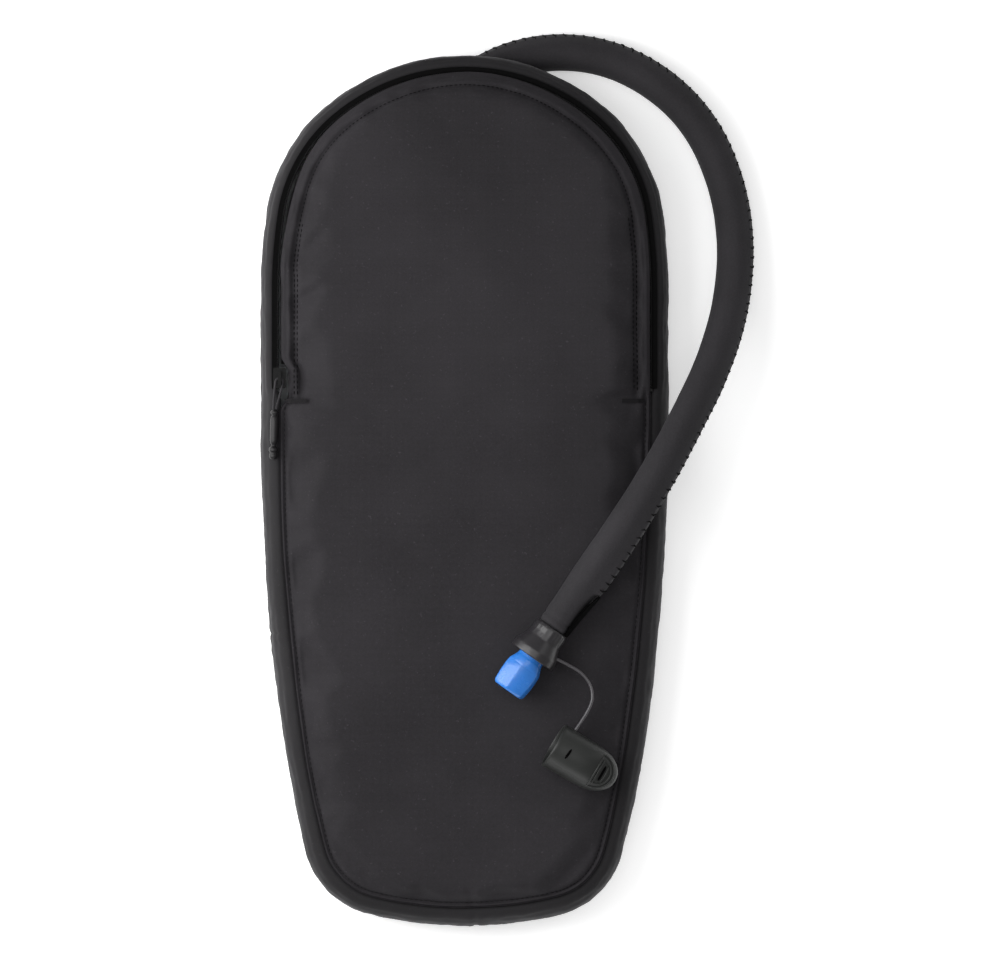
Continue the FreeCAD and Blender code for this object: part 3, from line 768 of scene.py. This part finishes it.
def back_panel():
    """The padded back with its slope and quilted channels, and a hole where the hose leaves."""
    rows = ring_points(8.8, fractions(40, 1.4))
    outside, inside = [], []
    for row in rows:
        for x, y, d in row:
            rise = max(0.0, (y - SLOPE_START_Y) * SLOPE)
            edge = 2.2 * math.exp(-d / 3.0)
            lie = 0.25 * (1 + fbm(x, y, 40.0, 35.0)) * min(1, d / 10)
            channel = 0.7 * max(bump_at(y, c, 2.2) for c in range(-150, 151, 50)) * min(1, d / 8)
            outside.append((x, y, rise + edge * 0.8 + max(0.02, lie + channel - 0.15)))
            inside.append((x, y, rise + 3.9 + 0.3 * fbm(x, y, 50.0, 30.0)))
    count = len(rows)
    faces = grid_faces(count, AROUND)
    base = count * AROUND
    inner = [tuple(reversed(f)) for f in grid_faces(count, AROUND, start=base)]
    rim = [(c, base + c, base + (c + 1) % AROUND, (c + 1) % AROUND) for c in range(AROUND)]
    slots = [0] * len(faces) + [1] * len(inner) + [0] * len(rim)
    piece = make_object("back_panel_padded", outside + inside, faces + inner + rim, [FABRIC, LINING], slots)
    bm = bmesh.new()
    bm.from_mesh(piece.data)
    start = Vector(HOSE_ROUTE[0]) * MM
    run = (Vector(HOSE_ROUTE[1]) * MM - start).normalized()
    hole = []
    for face in bm.faces:
        offset = face.calc_center_median() - start
        along = offset.dot(run)
        near = (offset - run * along).length < HOLE_RADIUS * MM
        if near and HOLE_REACH[0] * MM < along < HOLE_REACH[1] * MM:
            hole.append(face)
    bmesh.ops.delete(bm, geom=hole, context="FACES")
    bm.to_mesh(piece.data)
    bm.free()
    tidy_faces(piece)
    return piece


def panel_stitches(tree, depth, start, end, name, thread):
    """A row of lockstitches on the front panel, depth mm in from its sewn edge."""
    strands = []
    pitch, length = 2.9, 2.0
    count = int((end - start) / pitch)
    for k in range(count):
        strand = []
        for t in (0.0, 0.5, 1.0):
            s = start + k * pitch + t * length
            p, n = outline_at(s)
            q = p - n * (sewn_inset(p) + depth + 0.25 * fbm(s, depth, 3.0, 30.0, 2))
            strand.append(Vector((q.x, q.y, height_on(tree, q.x, q.y) + (0.2 if t == 0.5 else -0.05))))
        strands.append(strand)
    return threads(name, strands, 0.3, thread)


def zip_side(name, inset, teeth_inset, clear_slider, direction):
    """One tape of the zip and its moulded coil, round the top of the bag."""
    reach = side_position(ZIP_END_Y)
    left = side_position(FLAP_ZIP_Y) if clear_slider else reach
    vertices, faces = [], []
    count = 300
    for k in range(count):
        s = -left + (reach + left) * k / (count - 1)
        p, n = outline_at(s)
        for d, z in ((inset[0], 0.0), (inset[0], 0.7), (inset[1], 0.7), (inset[1], 0.0)):
            q = p - n * d
            vertices.append((q.x, q.y, SEAM_Z - 1.2 + z))
    faces = grid_faces(count, 4)
    tape = make_object(name + "_tape", vertices, faces, [ZIP_TAPE], smooth=False)
    coil_points = []
    pitch = 1.25
    turns = int((reach + left) / pitch)
    steps = 8
    for k in range(turns * steps):
        s = -left + k * pitch / steps
        a = 2 * math.pi * k / steps
        p, n = outline_at(s)
        q = p - n * (teeth_inset + direction * 0.3 * math.cos(a))
        coil_points.append(Vector((q.x, q.y, SEAM_Z + 0.25 + 0.52 * math.sin(a))))
    coil = threads(name + "_coil", [coil_points], 0.2, ZIP_COIL, 5)
    return tape, coil


# ---- hose, tube and the end fittings ----------------------------------------------------------
def on_hose(p, run, r, a):
    """The place r mm off the hose's centreline at p, at angle a from its outer side towards its top."""
    outer = Vector((0, 0, 1)).cross(run).normalized()
    up = run.cross(outer).normalized()
    return p + outer * (r * math.cos(a)) + up * (r * math.sin(a))


def hose_cover():
    """The foam and knit cover: a tube with a stitched seam on its outer side, open near the end."""
    points, directions, length = centreline(HOSE_ROUTE, 1.25)
    around = 64
    slit_from, slit_to = length - 28.0, length + 0.5
    vertices = []
    total = len(points)
    for k, (p, t) in enumerate(zip(points, directions)):
        s = length * k / (total - 1)
        left = length - s
        taper = 1.0 - 0.03 * math.exp(-left / 40.0) - 0.09 / (1 + math.exp((left - 22.0) / 4.0))
        fin = 0.5 + 2.3 * math.exp(-((left - 30.0) / 50.0) ** 2) / (1 + math.exp((27.0 - left) / 2.0))
        hem = -0.5 * bump_at(left, 5.0, 0.8) - 0.9 * math.exp(-left / 0.8)
        for c in range(around):
            a = 2 * math.pi * c / around
            off = (a - SEAM_ANGLE + math.pi) % (2 * math.pi) - math.pi
            r = HOSE_RADIUS * taper + hem
            r += 0.16 * fbm(p.x + 40 * math.cos(a), p.y + 40 * math.sin(a), p.z, 22.0)
            r += fin * bump_at(off, 0, 0.33)
            r -= 0.5 * bump_at(off, 0, 0.07) - 0.2 * bump_at(abs(off), 0.2, 0.1)
            r -= 0.18 * bump_at(off, 0, 0.3) * math.cos(2 * math.pi * s / 5.0) ** 2
            if slit_from < s < slit_to:
                r -= 1.6 * bump_at(off, 0, 0.3)
            vertices.append(on_hose(p, t, r, a))
    faces = grid_faces(total, around)
    # ends: a turned-in rim round the tube
    for ring, step in ((0, 1.0), (total - 1, -1.0)):
        base = len(vertices)
        t = directions[ring]
        for c in range(around):
            n = (c + 1) % around
            vertices.append(on_hose(points[ring] + t * step, t, RIM_RADIUS, 2 * math.pi * c / around))
            faces.append((ring * around + c, base + c, base + n, ring * around + n))
    piece = make_object("hose_cover_knit", vertices, faces, [COVER])
    tidy_faces(piece, None)
    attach(piece, "sleeve")
    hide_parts("hose_cover")

    strands = []
    pitch = 4.9
    for k in range(int((length - 36.0) / pitch)):
        s = 12.0 + k * pitch
        if slit_from - 1 < s < slit_to + 2:
            continue
        strand = []
        for step in range(5):
            u = step / 4
            place = (s + 1.5 * u) / length * (total - 1)
            p, t = points[int(place)], directions[int(place)]
            a = SEAM_ANGLE + (u - 0.5) * 0.62
            left = length - s
            fin = 0.5 + 2.3 * math.exp(-((left - 30.0) / 50.0) ** 2)
            lift = 0.15 if 0 < step < 4 else -0.2
            r = HOSE_RADIUS + fin * math.exp(-((a - SEAM_ANGLE) / 0.33) ** 2) + lift
            strand.append(on_hose(p, t, r, a))
        strands.append(strand)
    stitches = threads("hose_whip_stitch", strands, 0.46, THREAD)
    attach(stitches, "sleeve")
    gap = cover_gap(points, directions, length, slit_from, slit_to)
    return piece, [stitches, gap], points


def cover_gap(points, directions, length, start, end):
    """The unsewn end of the cover's seam: a lens-shaped near-black sheet with turned edges, painted shade of
    the opening.
    """
    along, across = 40, 10
    rows = []
    for i in range(along + 1):
        u = i / along
        place = min(1.0, (start + (end - start) * u) / length) * (len(points) - 1.001)
        k = int(place)
        p = points[k].lerp(points[min(k + 1, len(points) - 1)], place - k)
        half = 0.02 + 0.46 * math.sin(math.pi * min(1.0, u * 0.82 + 0.02)) ** 0.6
        for j in range(across + 1):
            v = 2 * j / across - 1
            a = SEAM_ANGLE + v * half
            r = HOSE_RADIUS + 2.1 - 2.3 * u - 0.6 * (1 - v * v)
            rows.append(on_hose(p, directions[k], r, a))
    gap = make_object("hose_cover_gap_painted_shade", rows, grid_faces(along + 1, across + 1, closed=False), [PAINTED_SHADE])
    solid = gap.modifiers.new("thickness", "SOLIDIFY")
    solid.thickness = 0.5 * MM
    solid.offset = -1.0
    apply_modifiers(gap)
    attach(gap, "sleeve")
    return gap


END = Vector(HOSE_ROUTE[-1])
END_RUN = (END - Vector(HOSE_ROUTE[-2])).normalized()


def tether_collar():
    profile = soften([
        (7.9, 0.3), (9.0, 0.3), (9.5, 2.0), (9.5, 5.0), (9.9, 8.4), (12.9, 15.2), (13.1, 19.4),
        (11.9, 19.6), (11.5, 16.0), (8.6, 10.4), (6.0, 9.4), (6.0, 4.0), (7.8, 3.6), (7.9, 0.3),
    ], 0.7)

    def ribbed(a, s, r):
        grow = 1.0 + (0.012 * math.cos(18 * a) if 1.0 < s < 6.0 and r > 8.5 else 0.0)
        return r * grow * math.cos(a), r * grow * math.sin(a)

    piece = turned("tether_collar_rubber", profile, [COLLAR], place_at(END, END_RUN), 96, ribbed)
    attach(piece, "valve_cap")
    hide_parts("tether_collar")
    return piece


def bite_valve():
    """Silicone mouthpiece: round neck, shouldered body with soft facets, flattened slit mouth."""
    profile = soften([
        (6.1, 12.0), (7.3, 12.0), (7.4, 19.5), (7.6, 21.4), (9.8, 26.0), (10.1, 29.0), (10.1, 34.0),
        (9.6, 40.0), (8.6, 41.6), (4.0, 41.8), (0.01, 41.4),
    ], 0.9)

    def faceted(a, s, r):
        amount = max(0.0, min(1.0, (s - 22.0) / 4.0))
        sixth = math.pi / 3
        facet = math.cos(((a + 0.35) % sixth) - sixth / 2) ** 0.55
        flat = 1 - 0.17 * amount
        scale = (1 - amount) + amount * (0.97 / facet)
        x = r * scale * math.cos(a)
        y = r * scale * math.sin(a) * flat
        return max(-11.0, min(11.0, x)), y

    piece = turned("bite_valve_silicone", profile, [SILICONE, PAINTED_SHADE], place_at(END, END_RUN), 120, faceted)
    lip = make_slit(place_at(END, END_RUN))
    for part in (piece, lip):
        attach(part, "bite_valve")
    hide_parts("bite_valve")
    return piece, lip


def make_slit(place):
    """The cross cut in the mouthpiece, drawn as near-black threads: painted shade of the cut."""
    strands = []
    for a in (0.0, math.pi / 2):
        reach = 5.0 if a == 0.0 else 2.4
        strand = []
        for u in (-1, -0.5, 0, 0.5, 1):
            x, y = reach * u * math.cos(a), reach * u * math.sin(a)
            strand.append(place @ Vector((x, y, 41.72 - 0.25 * abs(u))))
        strands.append(strand)
    return threads("bite_valve_slit_painted_shade", strands, 0.22, PAINTED_SHADE)


CAP_ORIGIN = Vector((47.7, -136.5, 58.6))
CAP_AXIS = Vector((0.862, -0.507, -0.08)).normalized()


def valve_cap():
    """Rubber cup that pushes on the mouthpiece, drawn out to a rounded finger tab."""
    # distance along the axis, half width, half thickness
    stations = [
        (0.0, 12.3, 12.3), (0.5, 12.9, 12.9), (1.6, 13.0, 13.0), (2.6, 12.7, 12.7), (8.0, 12.6, 12.6),
        (16.0, 12.5, 12.3), (22.0, 12.3, 11.4), (26.0, 12.0, 9.8), (30.0, 11.1, 7.9), (33.5, 9.4, 6.4),
        (36.5, 6.9, 5.2), (38.4, 4.0, 3.6), (39.0, 0.05, 0.05),
    ]
    inner = [
        (0.0, 11.5, 11.5), (1.0, 11.2, 11.2), (14.0, 11.0, 11.0), (22.0, 10.4, 9.6), (25.0, 8.0, 7.6),
        (25.8, 0.05, 0.05),
    ]
    place = place_at(CAP_ORIGIN, CAP_AXIS)
    around = 72
    vertices = []
    for s, w, h in list(reversed(inner)) + stations:
        for k in range(around):
            a = 2 * math.pi * k / around
            vertices.append(place @ Vector((w * math.cos(a), h * math.sin(a), s)))
    faces = grid_faces(len(inner) + len(stations), around)
    piece = make_object("valve_cap_rubber", vertices, faces, [CAP_RUBBER])
    tidy_faces(piece)
    subdivide(piece, 1)
    tree = surface_of(piece)

    def on_top(x, s, lift):
        """A point above the cap's upper skin, in mm, from places across and along it."""
        start = place @ Vector((x, 30, s))
        down = (place.to_3x3() @ Vector((0, -1, 0))).normalized()
        hit = tree.ray_cast(start * MM, down)
        return hit[0] / MM - down * lift if hit[0] else start

    def arch(half, foot, top, lift):
        """An arch across the tab: a straight foot towards the cup, rounded towards the tip."""
        angles = [math.pi * k / 24 for k in range(25)]
        round_part = [(half * math.cos(a), foot + (top - foot) * math.sin(a)) for a in angles]
        line = round_part + [(-half + 2 * half * k / 8, foot) for k in range(1, 9)]
        return [on_top(x, y, lift) for x, y in line]

    arches = [arch(9.3, 26.2, 36.4, 0.15), arch(6.9, 27.6, 34.6, 0.1)]
    ring = threads("valve_cap_arches", arches, 0.6, CAP_RUBBER, 8)
    slot_line = [on_top(x, 29.9, 0.05) for x in (-4.4, -3, -1.5, 0, 1.5, 3, 4.4)]
    rib = [on_top(x, 31.9 - 0.03 * x * x, 0.1) for x in (-5.0, -3.5, -1.8, 0, 1.8, 3.5, 5.0)]
    vent = [on_top(x, 8.5 + 0.1 * x, 0.02) for x in (-3.0, -1.5, 0, 1.5, 3.0)]
    # the slot and the vent are near-black threads: painted shade of the openings
    marks = threads("valve_cap_slot_painted_shade", [slot_line, vent], 0.7, PAINTED_SHADE, 8)
    ribs = threads("valve_cap_rib", [rib], 0.6, CAP_RUBBER, 8)
    for part in (piece, ring, marks, ribs):
        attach(part, "valve_cap")
    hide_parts("valve_cap")
    return piece, [ring, marks, ribs]


def tether():
    piece = nurbs("valve_tether_rubber", TETHER_ROUTE, 0.85, TETHER)
    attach(piece, "valve_cap")
    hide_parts("valve_tether")
    return piece


def zip_pull():
    cord = nurbs("pull_cord_braid", PULL_ROUTE, 0.6, CORD)
    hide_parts("pull_cord")
    sleeve = [(1.9, 3.8), (2.15, 5.0), (2.2, 11.0), (2.1, 16.6)]
    knot = [(0.01, -0.2), (1.2, -0.1), (2.2, 0.9), (2.2, 1.9), (1.3, 2.8)]
    bead = [
        (1.9, 17.8), (1.4, 18.8), (1.3, 19.6), (2.3, 20.6), (2.6, 22.0), (1.9, 23.2), (2.2, 24.2),
        (2.3, 25.4), (1.4, 26.8), (0.01, 26.9),
    ]
    profile = knot + sleeve + bead
    place = place_at(Vector((-102.3, 43.8, 40.9)), Vector((-0.03, -1, -0.02)))
    grip = turned("pull_grip_rubber", soften(profile, 0.3, 2), [GRIP], place, 40)
    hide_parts("pull_grip")
    for part in (cord, grip):
        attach(part, "zip_pull")
    return cord, grip


def drinking_tube():
    piece = nurbs("drinking_tube_wall", TUBE_ROUTE + HOSE_ROUTE, 4.7, TUBE_FILM)
    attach(piece, "sleeve")
    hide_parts("drinking_tube")
    return piece


def bladder():
    """The film reservoir: the CAD form softened, with a welded edge and slack folds."""
    size, lift = 0.79, 15.0
    rows = fractions(30, 1.5)
    top, bottom = [], []
    around = 300
    places = outline(around)
    for f in rows:
        for k, (_, p, n) in enumerate(places):
            q = Vector((p.x * size, -BAG_LENGTH / 2 + (p.y + BAG_LENGTH / 2) * size + lift)) - n * 1.5
            spine = Vector((0.0, min(90.0, max(-160.0, q.y * 0.8))))
            c = q.lerp(spine, f)
            d = (c - q).length
            swell = 1 - math.exp(-d / 9.0)
            fold = 0.5 * fbm(c.x, c.y, 70.0, 25.0) * swell
            fold += 0.5 * math.exp(-d / 14.0) * swell * math.sin(k * 0.9)
            top.append((c.x, c.y, min(29.9, 17.5 + 12.2 * swell + fold)))
            bottom.append((c.x, c.y, 17.0 - 11.8 * swell - 0.3 * fold))
    faces = [tuple(reversed(x)) for x in grid_faces(len(rows), around)]
    lower = grid_faces(len(rows), around, start=len(top))
    rim = bridge(0, len(top), around)
    piece = make_object("bladder_film_bag", top + bottom, faces + lower + rim, [BLADDER_FILM])
    tidy_faces(piece)
    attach(piece, "sleeve")
    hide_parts("bladder")
    return piece


# ---- building it ----------------------------------------------------------------------------
def build():
    for node, material in CARRIED_OVER.items():
        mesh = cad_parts[node].data
        mesh.materials.clear()
        mesh.materials.append(material)

    panel = front_panel()
    tree = surface_of(panel)
    reach = side_position(HINGE_Y)
    double = side_position(150.0)  # above this the flap has one row of stitches, below it two
    low_end = 2 * HALF_LENGTH - reach - 4
    stitching = [  # depth in from the sewn edge, first and last place along the outline, name, thread
        (6.9, -reach, reach, "flap_topstitch", THREAD),
        (8.8, double, reach, "flap_topstitch_right", THREAD),
        (8.6, -reach, -double, "flap_topstitch_left", THREAD),
        (2.6, reach + 4, low_end, "panel_seam_stitch", SOFT_THREAD),
    ]
    rows = [panel_stitches(tree, *row) for row in stitching]
    for piece in (panel, *rows):
        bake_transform(piece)
    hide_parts("front_panel", "front_flap", "front_foam", "flap_foam")

    side = gusset()
    back = back_panel()
    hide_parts("side_gusset", "gusset_foam")
    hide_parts("back_panel", "back_foam")
    for piece in (side, back):
        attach(piece, "sleeve")

    halves = (
        ("sleeve", "zip_shell", (6.3, 10.0), 9.5, False, 1.0),
        ("flap", "zip_flap", (11.2, 15.4), 11.6, True, -1.0),
    )
    for body, name, inset, teeth, clear, direction in halves:
        tape, coil = zip_side(name, inset, teeth, clear, direction)
        end = "shell" if body == "sleeve" else "flap"
        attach(tape, body)
        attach(coil, body)
        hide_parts("zip_tape_" + end)
        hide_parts("zip_teeth_" + end)

    bladder()
    cover, cover_details, points = hose_cover()
    tube = drinking_tube()
    collar = tether_collar()
    valve, slit = bite_valve()
    cap, cap_details = valve_cap()
    strap = tether()
    cord, grip = zip_pull()


# ---- floor, light and camera ----------------------------------------------------------------
VIEW_WIDTH = 0.5378  # metres across the picture at the bag's front
VIEW_CENTRE = (0.0186, 0.0059)
AIM = (0, 0, 0.03)  # where every light points


def stage():
    bpy.ops.mesh.primitive_plane_add(size=6.0, location=(0, 0, -0.0002))
    floor = bpy.context.object
    floor.name = "floor"
    n = Nodes("floor_pale", (0.93, 0.93, 0.93), 0.9)
    n.colour(n.ramp(n.noise(3.0, 2.0), [(0.3, (0.92, 0.92, 0.92)), (0.7, (0.95, 0.95, 0.95))]))
    n.shader.inputs["Emission Color"].default_value = (1, 1, 1, 1)
    n.shader.inputs["Emission Strength"].default_value = 0.4
    floor.data.materials.append(n.material)


def area_light(name, place, size, power):
    data = bpy.data.lights.new(name, "AREA")
    data.shape = "RECTANGLE"
    data.size, data.size_y = size
    data.energy = power
    light = linked(name, data)
    light.location = place
    light.rotation_euler = (Vector(AIM) - Vector(place)).to_track_quat("-Z", "Y").to_euler()


def lights():
    world = bpy.data.worlds.new("studio")
    bpy.context.scene.world = world
    world.use_nodes = True
    background = world.node_tree.nodes["Background"]
    background.inputs["Color"].default_value = (1, 1, 1, 1)
    background.inputs["Strength"].default_value = 0.32
    area_light("overhead", (0.1, 0.1, 2.4), (1.6, 1.6), 14)
    area_light("key", (-0.42, 0.06, 0.38), (0.5, 0.8), 5.8)
    area_light("edge", (0.9, 0.3, 0.5), (0.3, 1.2), 1.0)
    area_light("foot", (-0.08, -0.75, 0.22), (0.5, 0.2), 1.1)


def camera():
    data = bpy.data.cameras.new("camera")
    eye = linked("camera", data)
    distance = 8.0  # far off, so that the view is nearly flat
    data.sensor_width = 36.0
    data.lens = data.sensor_width * distance / VIEW_WIDTH
    data.clip_end = 20.0
    eye.location = (*VIEW_CENTRE, CROWN_Z * MM + distance)
    bpy.context.scene.camera = eye


bpy.context.scene.view_settings.view_transform = "Standard"
build()
stage()
lights()
camera()
